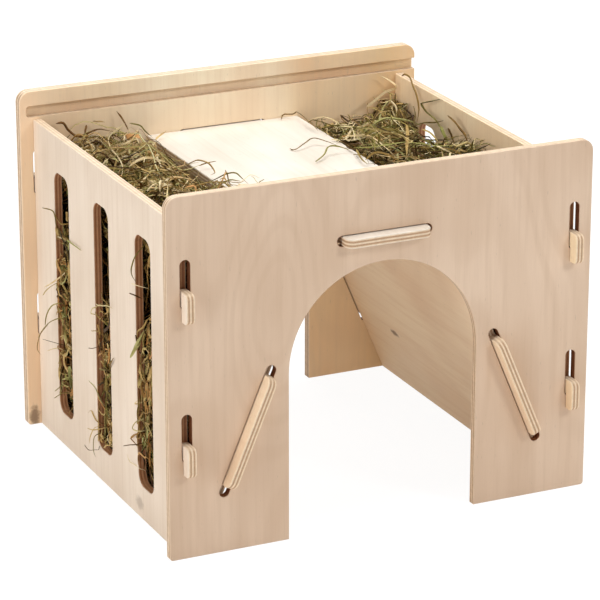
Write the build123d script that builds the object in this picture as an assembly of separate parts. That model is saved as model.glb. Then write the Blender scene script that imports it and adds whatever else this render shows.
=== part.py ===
"""Plug-together plywood hay house for small animals, in millimetres.

Two end panels with an arched doorway stand at the front and the back. Two slotted side panels hook into
them, two leaning inner walls make a V-shaped hay hopper behind each side, and a shelf roofs the cabin
between the hoppers. A load of hay fills each hopper.

X runs along the front, Y to the back and Z up. The origin is at the bottom centre of the house.
"""
from build123d import *
from math import cos, radians, sin, sqrt, tan
import os

# Plywood sheets
ply = 6.0
back_ply = 8.0

# End panels: the front and the back one
box_width = 300.0
panel_height = 242.0
room_depth = 250.0
top_corner_radius = 8.0
foot_corner_radius = 2.0
door_width = 134.0
door_height = 180.5

# Groove for a sliding cover, milled along the back panel's inner face, open at its right end
groove_height = 8.0
groove_depth = 5.0
groove_end_margin = 4.5
groove_end_radius = 2.5
groove_step = 1.8

# Side panels and their feeding slots
side_height = 222.0
side_inset = 9.5
feed_slot_count = 3
feed_slot_width = 26.5
feed_slot_height = 173.0
feed_slot_bottom = 23.5
feed_slot_pitch = 71.5
feed_slot_front_margin = 43.5
feed_slot_corner_radius = 8.0

# Hooks that hold the side panels to the end panels
hook_count = 2
hook_reach = 8.5
hook_height = 20.0
hook_neck_height = 10.0
hook_top_height = 77.6
hook_pitch = 102.6
hook_round = 4.0
lift_room = 20.5

# Inner walls
wall_lean = 23.0
wall_foot_gap = 2.5
wall_tab_length = 76.0
wall_tab_centre = 85.5
wall_slot_play = 7.5

# Roof shelf
shelf_overhang = 6.5
shelf_top_height = 200.5
shelf_tab_length = 60.0
shelf_slot_play = 3.5

# Tabs and fits
tab_reach = 8.5
tab_round = 5.5
edge_ease = 0.4
slot_play = 0.6
butt_gap = 0.2
hook_gap = 0.3

# Hay loads
hay_bottom_height = 22.0
hay_edge_height = 200.0
hay_crown = 6.0
hay_seat_gap = 0.4
hay_side_gap = 2.0
hay_end_gap = 2.0

# Places worked out from the sizes above
front_outer_y = -(ply + room_depth + back_ply) / 2
front_inner_y = front_outer_y + ply
back_inner_y = front_inner_y + room_depth
back_outer_y = back_inner_y + back_ply
room_middle_y = (front_inner_y + back_inner_y) / 2
side_outer_x = box_width / 2 - side_inset
side_inner_x = side_outer_x - ply
side_middle_x = side_outer_x - ply / 2
shelf_bottom = shelf_top_height - ply
slot_width = ply + 2 * slot_play
slot_end_sag = slot_width / 2 - sqrt((slot_width / 2) ** 2 - (ply / 2) ** 2)
board_depth = room_depth - 2 * butt_gap
lean = radians(wall_lean)
wall_foot_x = side_inner_x - wall_foot_gap - ply * cos(lean)
wall_length = (shelf_bottom - butt_gap - ply * sin(lean)) / cos(lean)
wall_top_x = wall_foot_x + ply * cos(lean) - wall_length * sin(lean)
shelf_width = 2 * (wall_top_x + shelf_overhang)
groove_bottom = side_height + groove_step


def end_panel_plane(low_y):
    """A plane across the house at low_y, with its x along X and its y up. Negative extrusion goes to +Y."""
    return Plane(origin=(0, low_y, 0), x_dir=(1, 0, 0), z_dir=(0, -1, 0))


def wall_plane(side=1):
    """The cabin side of an inner wall: x along Y, y up the board and z out to the hopper."""
    return Plane(
        origin=(side * wall_foot_x, 0, 0),
        x_dir=(0, side, 0),
        z_dir=(side * cos(lean), 0, sin(lean)),
    )


def ease_edges(board, direction):
    """Sand the sharp edges of a sheet's two faces, which lie square to direction."""
    sheet_axis = Axis((0, 0, 0), direction)
    return chamfer(board.faces().filter_by(sheet_axis).edges(), edge_ease)


def doorway():
    """The arch: two straight jambs under a half circle."""
    arch_radius = door_width / 2
    spring = door_height - arch_radius
    jambs = Pos(0, spring / 2) * Rectangle(door_width, spring)
    return jambs + Pos(0, spring) * Circle(arch_radius)


def hook_slots():
    """The upright slots of both side panels' hooks, long enough to lift the panel by lift_room."""
    slots = Sketch()
    top_play = lift_room
    bottom_play = hook_gap + slot_end_sag
    length = hook_neck_height + top_play + bottom_play
    for side in (-1, 1):
        for row in range(hook_count):
            top = hook_top_height + row * hook_pitch + top_play
            slots += Pos(side * side_middle_x, top - length / 2) * SlotOverall(length, slot_width, 90)
    return slots


def tab_slots():
    """The slot of the shelf's tab and the two leaning slots of the inner walls' tabs."""
    shelf_slot_length = shelf_tab_length + 2 * shelf_slot_play
    slots = Pos(0, shelf_top_height - ply / 2) * SlotOverall(shelf_slot_length, slot_width)
    length = wall_tab_length + 2 * wall_slot_play
    x = wall_foot_x + ply / 2 * cos(lean) - wall_tab_centre * sin(lean)
    z = ply / 2 * sin(lean) + wall_tab_centre * cos(lean)
    for side in (-1, 1):
        slots += Pos(side * x, z) * SlotOverall(length, slot_width, 90 + side * wall_lean)
    return slots


def end_panel(low_y, thickness):
    """One end panel, from low_y to low_y + thickness."""
    outline = Pos(0, panel_height / 2) * Rectangle(box_width, panel_height)
    corners = outline.vertices().sort_by(Axis.Y)
    outline = fillet(corners[-2:], top_corner_radius)
    corners = outline.vertices().sort_by(Axis.Y)
    outline = fillet(corners[:2], foot_corner_radius)
    face = outline - doorway() - hook_slots() - tab_slots()
    panel = extrude(end_panel_plane(low_y) * face, amount=-thickness)
    return ease_edges(panel, (0, 1, 0))


def cover_groove():
    """The blind groove near the back panel's top edge: a stopped left end and an open right end."""
    left = -box_width / 2 + groove_end_margin
    right = box_width / 2 + groove_end_radius
    middle = groove_bottom + groove_height / 2
    outline = Pos((left + right) / 2, middle) * Rectangle(right - left, groove_height)
    outline = fillet(outline.vertices().sort_by(Axis.X)[:2], groove_end_radius)
    return extrude(end_panel_plane(back_inner_y) * outline, amount=-groove_depth)


def hook(wall):
    """A downward hook, from the panel's edge at (0, 0) through a wall, with its top at zero height."""
    reach = butt_gap + wall + hook_reach
    block = Pos(reach / 2, -hook_height / 2) * Rectangle(reach, hook_height)
    block = fillet(block.vertices().sort_by(Axis.X)[-2:], hook_round)
    catch_width = butt_gap + wall + hook_gap
    catch_drop = hook_height - hook_neck_height
    catch = Pos(catch_width / 2, -hook_height + catch_drop / 2) * Rectangle(catch_width, catch_drop)
    return block - catch


def feed_slots():
    """The upright feeding slots, counted from the front."""
    slots = Sketch()
    for number in range(feed_slot_count):
        y = front_inner_y + feed_slot_front_margin + feed_slot_width / 2 + number * feed_slot_pitch
        z = feed_slot_bottom + feed_slot_height / 2
        outline = RectangleRounded(feed_slot_width, feed_slot_height, feed_slot_corner_radius)
        slots += Pos(y, z) * outline
    return slots


def side_panel(low_x):
    """A side panel from low_x to low_x + ply, with hooks at its front and back edges."""
    face = Pos(room_middle_y, side_height / 2) * Rectangle(board_depth, side_height)
    front_hook = mirror(hook(ply), about=Plane.YZ)
    back_hook = hook(back_ply)
    for row in range(hook_count):
        top = hook_top_height + row * hook_pitch
        face += Pos(front_inner_y + butt_gap, top) * front_hook
        face += Pos(back_inner_y - butt_gap, top) * back_hook
    face -= feed_slots()
    side_plane = Plane(origin=(low_x, 0, 0), x_dir=(0, 1, 0), z_dir=(1, 0, 0))
    return ease_edges(extrude(side_plane * face, amount=ply), (1, 0, 0))


def tab_strip(length):
    """A strip that reaches through both end panels, with rounded corners at each end."""
    reach = back_outer_y - front_outer_y + 2 * tab_reach
    return RectangleRounded(reach, length, tab_round)


def inner_wall(side):
    """A leaning wall with a tab at each end. Its cabin side's lower edge stands on the floor."""
    board = Pos(side * room_middle_y, wall_length / 2) * Rectangle(board_depth, wall_length)
    board += Pos(0, wall_tab_centre) * tab_strip(wall_tab_length)
    return ease_edges(extrude(wall_plane(side) * board, amount=ply), (side * cos(lean), 0, sin(lean)))


def roof_shelf():
    """The level shelf on the inner walls' top edges, with a tab at each end."""
    board = Pos(0, room_middle_y) * Rectangle(shelf_width, board_depth)
    board += Rot(0, 0, 90) * tab_strip(shelf_tab_length)
    return ease_edges(extrude(Pos(0, 0, shelf_bottom) * board, amount=ply), (0, 0, 1))


def hay_load(side):
    """The hay in one hopper: a wedge between the leaning wall and the side panel, with a crowned top."""
    outer_x = side_inner_x - hay_side_gap
    inner_x = shelf_width / 2 + hay_seat_gap
    seat_x = wall_foot_x + (ply + hay_seat_gap) / cos(lean)
    knee_height = (seat_x - inner_x) / tan(lean)
    bottom_x = seat_x - hay_bottom_height * tan(lean)
    top_height = hay_edge_height + hay_crown
    corners = [
        (bottom_x, hay_bottom_height),
        (outer_x, hay_bottom_height),
        (outer_x, hay_edge_height),
        ((inner_x + outer_x) / 2, top_height),
        (inner_x, hay_edge_height),
        (inner_x, knee_height),
    ]
    wedge_line = Polyline(*[(side * x, z) for x, z in corners], close=True)
    low_y = front_inner_y + hay_end_gap
    high_y = back_inner_y - hay_end_gap
    wedge = extrude(end_panel_plane(low_y) * make_face(wedge_line), amount=low_y - high_y)
    rise = ThreePointArc((low_y, hay_edge_height), (room_middle_y, top_height), (high_y, hay_edge_height))
    fall = Polyline((high_y, hay_edge_height), (high_y, 0), (low_y, 0), (low_y, hay_edge_height))
    mound = extrude(Plane.YZ * make_face(rise + fall), amount=side * box_width / 2)
    return wedge & mound


def main():
    """Build each piece and write it to its own file."""
    nodes = {
        "front_panel": end_panel(front_outer_y, ply),
        "back_panel": end_panel(back_inner_y, back_ply) - cover_groove(),
        "left_side_panel": side_panel(-side_outer_x),
        "right_side_panel": side_panel(side_inner_x),
        "left_inner_wall": inner_wall(-1),
        "right_inner_wall": inner_wall(1),
        "roof_shelf": roof_shelf(),
        "hay_left": hay_load(-1),
        "hay_right": hay_load(1),
    }
    os.makedirs("parts", exist_ok=True)
    for name, piece in nodes.items():
        piece.label = name
        export_step(piece, f"parts/{name}.step")


main()
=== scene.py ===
import math

import bpy
import numpy as np
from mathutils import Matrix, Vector


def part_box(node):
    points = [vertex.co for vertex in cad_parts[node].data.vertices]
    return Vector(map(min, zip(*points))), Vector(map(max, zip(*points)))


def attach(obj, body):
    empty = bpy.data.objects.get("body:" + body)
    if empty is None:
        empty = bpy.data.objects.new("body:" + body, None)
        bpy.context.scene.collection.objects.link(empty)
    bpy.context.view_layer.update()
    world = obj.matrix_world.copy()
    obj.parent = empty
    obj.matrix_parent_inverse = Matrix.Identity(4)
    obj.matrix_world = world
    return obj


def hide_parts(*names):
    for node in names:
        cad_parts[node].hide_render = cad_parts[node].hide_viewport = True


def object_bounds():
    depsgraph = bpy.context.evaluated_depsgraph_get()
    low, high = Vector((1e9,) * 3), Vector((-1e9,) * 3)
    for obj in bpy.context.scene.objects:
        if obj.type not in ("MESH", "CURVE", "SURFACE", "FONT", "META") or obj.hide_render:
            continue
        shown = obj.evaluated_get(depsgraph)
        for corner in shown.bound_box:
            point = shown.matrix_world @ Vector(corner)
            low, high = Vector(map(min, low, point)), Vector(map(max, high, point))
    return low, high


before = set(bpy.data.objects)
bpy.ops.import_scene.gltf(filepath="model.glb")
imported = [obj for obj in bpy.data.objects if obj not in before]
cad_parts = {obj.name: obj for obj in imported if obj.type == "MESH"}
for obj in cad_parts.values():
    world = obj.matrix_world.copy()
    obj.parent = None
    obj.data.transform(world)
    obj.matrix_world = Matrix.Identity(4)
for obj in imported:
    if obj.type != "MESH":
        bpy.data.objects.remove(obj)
cad_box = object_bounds()
MM = 0.001
X, Y, Z = (1, 0, 0), (0, 1, 0), (0, 0, 1)
# A side is the sign of its x
LEFT, RIGHT = -1, 1

# Places of the plywood pieces, in metres. Places across the house count from its middle
SHELF_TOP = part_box("roof_shelf")[1].z
SHELF_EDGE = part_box("roof_shelf")[1].x
SIDE_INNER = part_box("right_side_panel")[0].x
SIDE_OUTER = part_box("right_side_panel")[1].x
ROOM_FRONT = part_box("front_panel")[1].y
ROOM_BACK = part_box("back_panel")[0].y
WALL_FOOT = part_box("right_inner_wall")[1].x
WALL_FOOT_RISE = 0.0023
WALL_LEAN = math.radians(23)
HAY_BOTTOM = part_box("hay_right")[0].z
FEED_SLOTS = [(-0.0825, -0.0560), (-0.0110, 0.0155), (0.0605, 0.0870)]
SLOT_LOW, SLOT_HIGH = 0.0235, 0.1965


# ---------------- shader nodes
class Shader:
    """Short calls that add and join the nodes of one material or world."""

    def __init__(self, owner):
        self.owner = owner
        owner.use_nodes = True
        self.tree = owner.node_tree
        self.tree.nodes.clear()

    def node(self, kind, inputs=(), **settings):
        """A node with its settings made, and with inputs, as (name or number, value or socket)."""
        made = self.tree.nodes.new(kind)
        for key, value in settings.items():
            setattr(made, key, value)
        for key, value in inputs:
            if isinstance(value, bpy.types.NodeSocket):
                self.tree.links.new(value, made.inputs[key])
            else:
                made.inputs[key].default_value = value
        return made

    def math(self, operation, *values, clamp=False):
        made = self.node("ShaderNodeMath", list(enumerate(values)), operation=operation, use_clamp=clamp)
        return made.outputs[0]

    def plus(self, first, second):
        return self.math("ADD", first, second)

    def minus(self, first, second):
        return self.math("SUBTRACT", first, second)

    def times(self, first, second):
        return self.math("MULTIPLY", first, second)

    def dot(self, vector, direction):
        made = self.node("ShaderNodeVectorMath", [(0, vector), (1, direction)], operation="DOT_PRODUCT")
        return made.outputs["Value"]

    def point(self, x, y, z):
        return self.node("ShaderNodeCombineXYZ", [(0, x), (1, y), (2, z)]).outputs[0]

    def noise(self, vector, detail=2.0, roughness=0.5, distortion=0.0, scale=1.0):
        inputs = [("Vector", vector), ("Scale", scale), ("Detail", detail)]
        inputs += [("Roughness", roughness), ("Distortion", distortion)]
        return self.node("ShaderNodeTexNoise", inputs).outputs["Fac"]

    def waver(self, vector, scale, size):
        """Noise around zero, with size from end to end."""
        return self.times(self.minus(self.noise(vector, scale=scale), 0.5), size)

    def span(self, value, low, high, to_low=0.0, to_high=1.0, smooth=True):
        """value's share of the way from low to high, as to_low to to_high."""
        inputs = [("Value", value), ("From Min", low), ("From Max", high)]
        inputs += [("To Min", to_low), ("To Max", to_high)]
        kind = "SMOOTHSTEP" if smooth else "LINEAR"
        return self.node("ShaderNodeMapRange", inputs, interpolation_type=kind).outputs[0]

    def within(self, value, low, high):
        """1 where value lies between low and high, with soft ends of a millimetre."""
        return self.times(self.span(value, low, low + MM), self.span(value, high, high - MM))

    def blend(self, share, first, second, kind="MIX"):
        """first, going over to second by share. Each is a socket or a tone."""
        first, second = [c if isinstance(c, bpy.types.NodeSocket) else (*c, 1.0) for c in (first, second)]
        inputs = [(0, share), (6, first), (7, second)]
        return self.node("ShaderNodeMix", inputs, data_type="RGBA", blend_type=kind).outputs[2]

    def ramp(self, value, stops, smooth=True):
        """Colours along value, from stops of (place, colour)."""
        made = self.node("ShaderNodeValToRGB", [(0, value)])
        made.color_ramp.interpolation = "EASE" if smooth else "LINEAR"
        spots = made.color_ramp.elements
        while len(spots) < len(stops):
            spots.new(0.5)
        for spot, (place, colour) in zip(spots, stops):
            spot.position = place
            spot.color = (*colour, 1.0)
        return made.outputs[0]

    def finish(self, colour, roughness, height, relief, specular):
        """The material's surface. height moves it by relief, in metres."""
        bump = self.node("ShaderNodeBump", [("Height", height), ("Distance", relief), ("Strength", 1.0)])
        inputs = [("Base Color", colour), ("Roughness", roughness), ("Specular IOR Level", specular)]
        inputs.append(("Normal", bump.outputs[0]))
        surface = self.node("ShaderNodeBsdfPrincipled", inputs)
        self.node("ShaderNodeOutputMaterial", [("Surface", surface.outputs[0])])
        return self.owner


# ---------------- plywood
# Scales of a veneer's noises, along the grain and across it
CLOUDS = (9.0, 16.0)
CONTOURS = (4.2, 11.0)
STREAKS = (9.0, 230.0)
FIBRES = (60.0, 1900.0)
FLECKS = (170.0, 900.0)
END_GRAIN = (300.0, 300.0)
PORES = 1500.0
KNOT_WAVER = (420.0, 0.9)
PLY_WAVER = (55.0, 0.22)

# Steps between the noises, so that no two of them and no two faces look the same
OTHER_FACE, CONTOUR_STEP, STREAK_STEP, FIBRE_STEP = 3.7, 7.1, 3.0, 5.0

# A veneer's looks: shares of its tone, its number of contour lines, and how an eye stands out of them
CLOUD_SHADE = (0.93, 0.895, 0.86)
GRAIN_SHADE = (0.80, 0.73, 0.66)
FLECK_SHADE = (0.55, 0.55, 0.55)
BEST_LIGHT = 0.95
CONTOUR_RINGS = 64.0
EYE_RISE, EYE_FALL = 0.42, -0.7
VENEER_RELIEF = 0.00006

# Cut edges: the plies' tones, where a cross ply fades into a long one and into the outer ply, and how it
# fades on an edge that faces upwards, a painted highlight that makes top edges paler
PLIES = 5
CROSS_PLY = (0.42, 0.265, 0.160)
LONG_PLY = (0.83, 0.66, 0.47)
LONG_SHADE = (0.86, 0.86, 0.86)
CROSS_SHADE = (1.30, 1.30, 1.30)
CROSS_FADE = (0.38, 0.68, 1.0, 0.0)
OUTER_FADE = (0.46, 0.40)
TOP_EDGE_HIGHLIGHT = (0.6, 0.9, 1.0, 0.45)
EDGE_TO_FACE = (0.35, 0.60)

# The leaning walls: their tone, made lighter as painted light, and which way they face
WALL_TONE = (0.930, 0.730, 0.525)
LEFT_LEAN = (-math.cos(WALL_LEAN), 0, math.sin(WALL_LEAN))
RIGHT_LEAN = (math.cos(WALL_LEAN), 0, math.sin(WALL_LEAN))

# Nested ovals in the figure: middle, length along the grain, width
FRONT_EYE = ((-0.074, -0.132, 0.160), 0.120, 0.056)

# Knots: middle, length along the grain, width, darkness
KNOT = (0.20, 0.12, 0.07)
BACK_KNOT = ((-0.1455, 0.124, 0.006), 0.018, 0.009, 0.80)
SIDE_KNOT = ((-0.1405, -0.058, 0.010), 0.011, 0.015, 0.40)
WALL_KNOT = ((0.1055, 0.063, 0.0493), 0.014, 0.006, 0.85)

# Painted light and shade on the back panel, darker stretches towards its sides that leave its middle
# lighter:
# tone, where across the board they start, where they are full
BACK_PAINTED_LIGHT_BANDS = (
    ((0.98, 0.88, 0.80), -0.055, -0.090),
    ((0.99, 0.86, 0.74), 0.038, 0.065),
    ((0.90, 0.86, 0.75), 0.095, 0.130),
)

# Painted shade and light on cut edges, darker inside the slots of the end and side panels and lighter on the
# shelf's edges: tone, lowest and highest along the grain, nearest and furthest from the middle
HOOK_SLOT_SHADE = (0.36, 0.175, 0.095)
FEED_SLOT_SHADE = (0.74, 0.48, 0.34)
BUTT_EDGE_SHADE = (0.45, 0.270, 0.165)
# Painted light: the shelf's cut edges made paler, standing in for light that falls on them
SHELF_EDGE_PAINTED_LIGHT = (1.14, 1.22, 1.32)
END_SLOT_SHADE = ((HOOK_SLOT_SHADE, 0.010, 0.221, 0.069, 0.147), (HOOK_SLOT_SHADE, 0.185, 0.210, -0.010, 0.050))
SIDE_SLOT_SHADE = ((FEED_SLOT_SHADE, 0.001, 0.2205, -0.010, 0.1250), (BUTT_EDGE_SHADE, 0.001, 0.2205, 0.1230, 0.1272))
SHELF_EDGES_PAINTED_LIGHT = ((SHELF_EDGE_PAINTED_LIGHT, -0.125, 0.125, 0.0, 0.2),)

# Board tones are partly painted light: the back panel, the right side panel and the leaning walls have
# lighter tones that stand in for light falling on them
BOARDS = {
    "front_panel": dict(
        normal=Y, grain=Z, tone=(0.690, 0.525, 0.390), seed=1.0, figure=1.0, eye=FRONT_EYE, edge_light_and_shade=END_SLOT_SHADE,
    ),
    "back_panel": dict(
        normal=Y, grain=Z, tone=(0.950, 0.785, 0.585), seed=11.0, figure=0.8, knots=(BACK_KNOT,),
        edge_light_and_shade=END_SLOT_SHADE, light_bands=BACK_PAINTED_LIGHT_BANDS,
    ),
    "left_side_panel": dict(
        normal=X, grain=Z, tone=(0.800, 0.670, 0.540), seed=23.0, figure=0.5, knots=(SIDE_KNOT,),
        edge_light_and_shade=SIDE_SLOT_SHADE,
    ),
    "right_side_panel": dict(
        normal=X, grain=Z, tone=(0.950, 0.740, 0.505), seed=31.0, figure=0.6, edge_light_and_shade=SIDE_SLOT_SHADE,
    ),
    "left_inner_wall": dict(normal=LEFT_LEAN, grain=Y, tone=WALL_TONE, seed=43.0, figure=0.6),
    "right_inner_wall": dict(
        normal=RIGHT_LEAN, grain=Y, tone=WALL_TONE, seed=53.0, figure=0.6, knots=(WALL_KNOT,),
    ),
    "roof_shelf": dict(
        normal=Z, grain=Y, tone=(0.800, 0.742, 0.655), seed=61.0, figure=0.6, edge_light_and_shade=SHELF_EDGES_PAINTED_LIGHT,
    ),
}


class Board:
    """The shader of one flat board and its places: u along the grain, v across it, w through the sheet."""

    def __init__(self, node, normal, grain):
        self.normal, self.grain = Vector(normal).normalized(), Vector(grain).normalized()
        self.across = self.normal.cross(self.grain)
        reach = [v.co.dot(self.normal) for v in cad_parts[node].data.vertices]
        self.low, self.high = min(reach), max(reach)
        self.s = s = Shader(bpy.data.materials.new(node + "_birch"))
        place = s.node("ShaderNodeTexCoord")
        self.at, self.facet = place.outputs["Object"], place.outputs["Normal"]
        self.u, self.v, self.w = [s.dot(self.at, way) for way in (self.grain, self.across, self.normal)]
        self.share = s.math("DIVIDE", s.minus(self.w, self.low), self.high - self.low)

    def stretched(self, scales, depth, **settings):
        """Noise with its own scales along and across the grain."""
        s = self.s
        return s.noise(s.point(s.times(self.u, scales[0]), s.times(self.v, scales[1]), depth), **settings)

    def oval(self, middle, length, width):
        """A place's distance from an oval's middle, in half lengths and half widths, squared."""
        s, middle = self.s, Vector(middle)
        along = s.math("DIVIDE", s.minus(self.u, middle.dot(self.grain)), length / 2)
        aside = s.math("DIVIDE", s.minus(self.v, middle.dot(self.across)), width / 2)
        return s.plus(s.times(along, along), s.times(aside, aside))


def shade(tone, shares):
    """tone times a share for each of its red, green and blue."""
    return tuple(c * share for c, share in zip(tone, shares))


def face_colour(board, tone, depth, streak, fibre, figure, eye, knots, light_bands):
    """Veneer: cloudy tone, contour figure of a peeled log, streaks and short dark flecks along the grain."""
    s = board.s
    cloud = board.stretched(CLOUDS, depth)
    field = board.stretched(CONTOURS, s.plus(depth, CONTOUR_STEP), detail=1.5, roughness=0.42)
    if eye:
        hill = s.math("EXPONENT", s.times(board.oval(*eye), EYE_FALL))
        field = s.plus(field, s.times(hill, EYE_RISE))
    rings = s.math("SINE", s.times(field, CONTOUR_RINGS))
    fleck = board.stretched(FLECKS, depth, detail=1.0)

    light = tuple(min(c * 1.05 + 0.01, BEST_LIGHT) for c in tone)
    grain_tone = shade(tone, GRAIN_SHADE)
    colour = s.blend(s.span(cloud, 0.30, 0.70), light, shade(tone, CLOUD_SHADE))
    # Painted light and shade: the back panel darker towards its sides and lighter in its middle
    for band, start, full in light_bands:
        colour = s.blend(s.span(board.v, start, full), colour, band, "MULTIPLY")
    marks = [
        # marks, where they start and are full, strength, tone
        (rings, -0.2, 1.0, 0.20 * figure, grain_tone),
        (streak, 0.42, 0.74, 0.30, grain_tone),
        (fibre, 0.40, 0.75, 0.12, grain_tone),
        (fleck, 0.70, 0.80, 0.35, shade(tone, FLECK_SHADE)),
    ]
    for mark, start, full, strength, mark_tone in marks:
        colour = s.blend(s.times(s.span(mark, start, full), strength), colour, mark_tone)
    for middle, length, width, darkness in knots:
        far = s.math("SQRT", board.oval(middle, length, width))
        far = s.plus(far, s.waver(board.at, *KNOT_WAVER))
        off_face = s.math("ABSOLUTE", s.minus(board.w, Vector(middle).dot(board.normal)))
        same_face = s.math("LESS_THAN", off_face, (board.high - board.low) / 2)
        spot = s.times(s.span(far, 1.15, 0.35), darkness)
        colour = s.blend(s.times(spot, same_face), colour, KNOT)
    return colour


def edge_colour(board, edge_light_and_shade):
    """Cut edges: long plies are pale, and cross plies show their brown end grain."""
    s = board.s
    lane = s.plus(s.times(board.share, float(PLIES)), s.waver(board.at, *PLY_WAVER))
    odd = s.math("PINGPONG", s.plus(lane, 0.5), 1.0)
    off_middle = s.math("ABSOLUTE", s.minus(board.share, 0.5))
    cross = s.times(s.span(odd, *CROSS_FADE), s.span(off_middle, *OUTER_FADE))
    # Painted highlight: cross plies fade on edges that face upwards, so top edges look paler
    cross = s.times(cross, s.span(s.dot(board.facet, Z), *TOP_EDGE_HIGHLIGHT))
    pores = s.noise(board.at, detail=3.0, roughness=0.7, scale=PORES)
    end_grain = board.stretched(END_GRAIN, board.w)
    long_tone = s.blend(s.span(end_grain, 0.35, 0.70), LONG_PLY, shade(LONG_PLY, LONG_SHADE))
    cross_tone = s.blend(s.span(pores, 0.35, 0.65), CROSS_PLY, shade(CROSS_PLY, CROSS_SHADE))
    edge = s.blend(cross, long_tone, cross_tone)
    aside = s.math("ABSOLUTE", board.v)
    # Painted shade and light: cut edges inside the slots made darker, and the shelf's edges lighter
    for tone, lowest, highest, nearest, furthest in edge_light_and_shade:
        place = s.times(s.within(board.u, lowest, highest), s.within(aside, nearest, furthest))
        edge = s.blend(place, edge, tone, "MULTIPLY")
    return edge


def plywood(node, normal, grain, tone, seed, figure, eye=None, knots=(), edge_light_and_shade=(), light_bands=()):
    """Birch plywood: a veneer with its grain on the two faces, and ply lines on the cut edges."""
    board = Board(node, normal, grain)
    s = board.s
    depth = s.plus(s.times(s.math("ROUND", board.share), OTHER_FACE), seed)
    streak = board.stretched(STREAKS, s.plus(depth, STREAK_STEP), detail=3.0, roughness=0.6)
    fibre = board.stretched(FIBRES, seed + FIBRE_STEP, roughness=0.6)
    face = face_colour(board, tone, depth, streak, fibre, figure, eye, knots, light_bands)
    facing = s.math("ABSOLUTE", s.dot(board.facet, board.normal))
    colour = s.blend(s.span(facing, *EDGE_TO_FACE), edge_colour(board, edge_light_and_shade), face)
    height = s.plus(s.times(streak, 0.6), s.times(fibre, 0.4))
    roughness = s.span(streak, 0.3, 0.8, 0.54, 0.70, smooth=False)
    return s.finish(colour, roughness, height, VENEER_RELIEF, specular=0.25)


def dress_boards():
    """Give each plywood piece its own veneer."""
    for node, look in BOARDS.items():
        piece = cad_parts[node]
        piece.data.materials.clear()
        piece.data.materials.append(plywood(node, **look))


# ---------------- hay
# Hay tones; the near-black low end serves as painted shade for the deepest strands
TAN_HAY = [
    (0.00, (0.048, 0.021, 0.005)),
    (0.12, (0.120, 0.058, 0.014)),
    (0.30, (0.270, 0.155, 0.040)),
    (0.50, (0.440, 0.290, 0.095)),
    (0.68, (0.590, 0.410, 0.165)),
    (0.84, (0.740, 0.530, 0.255)),
    (1.00, (0.900, 0.750, 0.460)),
]
GREEN_HAY = [
    (0.00, (0.034, 0.025, 0.005)),
    (0.12, (0.080, 0.066, 0.013)),
    (0.30, (0.165, 0.158, 0.034)),
    (0.50, (0.300, 0.298, 0.082)),
    (0.68, (0.430, 0.420, 0.160)),
    (0.84, (0.600, 0.570, 0.290)),
    (1.00, (0.820, 0.770, 0.530)),
]
# The core's tones, nearly black: painted shade that makes the gaps between strands look deep
CORE_SHADE_TONES = [(0.30, (0.025, 0.014, 0.005)), (0.55, (0.065, 0.040, 0.016)), (0.75, (0.150, 0.100, 0.042))]
RUST = (0.95, 0.68, 0.55)
VEIN = (0.12, 0.08, 0.02)
DRY_TIP = (0.40, 0.25, 0.09)

# Strands: their tones' middle, spread between tufts and spread within one, how fast painted shade darkens
# them with depth, and how green the heap and the rest are on average, from -1, rusty, to 1
HAY_MIX = {LEFT: (0.91, 0.27, 0.24), RIGHT: (0.79, 0.29, 0.27)}
HAY_SHADE = {LEFT: 0.76, RIGHT: 1.00}
HAY_GREEN = {LEFT: (0.28, -0.10), RIGHT: (0.45, 0.15)}
GREEN_SPREAD = 0.55
DARKEST_TOP = 0.18
# Painted shade: strands along the sides darker, the more so the further inward, and strands in the slots
# darker
SIDES_SHADE, SIDES_SHADE_INWARD = 0.36, 12
SLOT_SHADE = 0.38
TUFT_SIZE = 9
FOLD = 0.42

# A heap's top: its level, its lumps, as height, waves across and along the house and turn from side to side,
# and how much lower it lies in places
TOP_LEVEL = {LEFT: 0.2075, RIGHT: 0.2020}
LUMPS = [(0.0034, 150, 48, 1.3), (0.0030, -60, 84, 2.1), (0.0022, 130, 230, 0.0)]
SHELF_DIP, REAR_DIP, LEFT_CORNER_DIP = 0.0155, 0.006, 0.012
SLOT_DIP, RIGHT_CORNER_DIP = 0.021, 0.014

# Room that strands leave to the boards, and where they count as lying over the shelf or beside its edge
LOOSE_ROOM, STRAY_ROOM, SLOT_ROOM = 0.0006, 0.0004, 0.0003
SHELF_ROOM = 0.0005
OVER_SHELF, BESIDE_SHELF = 0.003, 0.012
SPILL_START, SHELF_REST = 0.002, 0.0015
HEAP_INNER, HEAP_OUTER = 0.05, 0.134
REACH = cad_box[1].x - 0.0006

# The core: rings along the house, points round each, how far it lies inside the loose hay, and its
# lumps, as height, waves round a ring and turn from ring to ring
CORE_ROWS, CORE_RIM = 44, 60
CORE_SKIN = {LEFT: 0.012, RIGHT: 0.020}
CORE_INSET = 0.006
CORE_END_GAP = 0.008
CORE_LIFT = 0.005
CORE_OUTER = 0.122
CORE_SHOULDER = (0.007, 0.004)
CORE_LUMPS = [(0.0022, 210, 0.55), (0.0018, 120, -0.9)]
CORE_PRESS = 0.003

# How a strand wanders and narrows to its two ends
AXIS_DRIFT, KINK = 0.25, 0.9
ROOT_WIDTH, TIP_WIDTH = 0.25, 0.12

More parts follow.
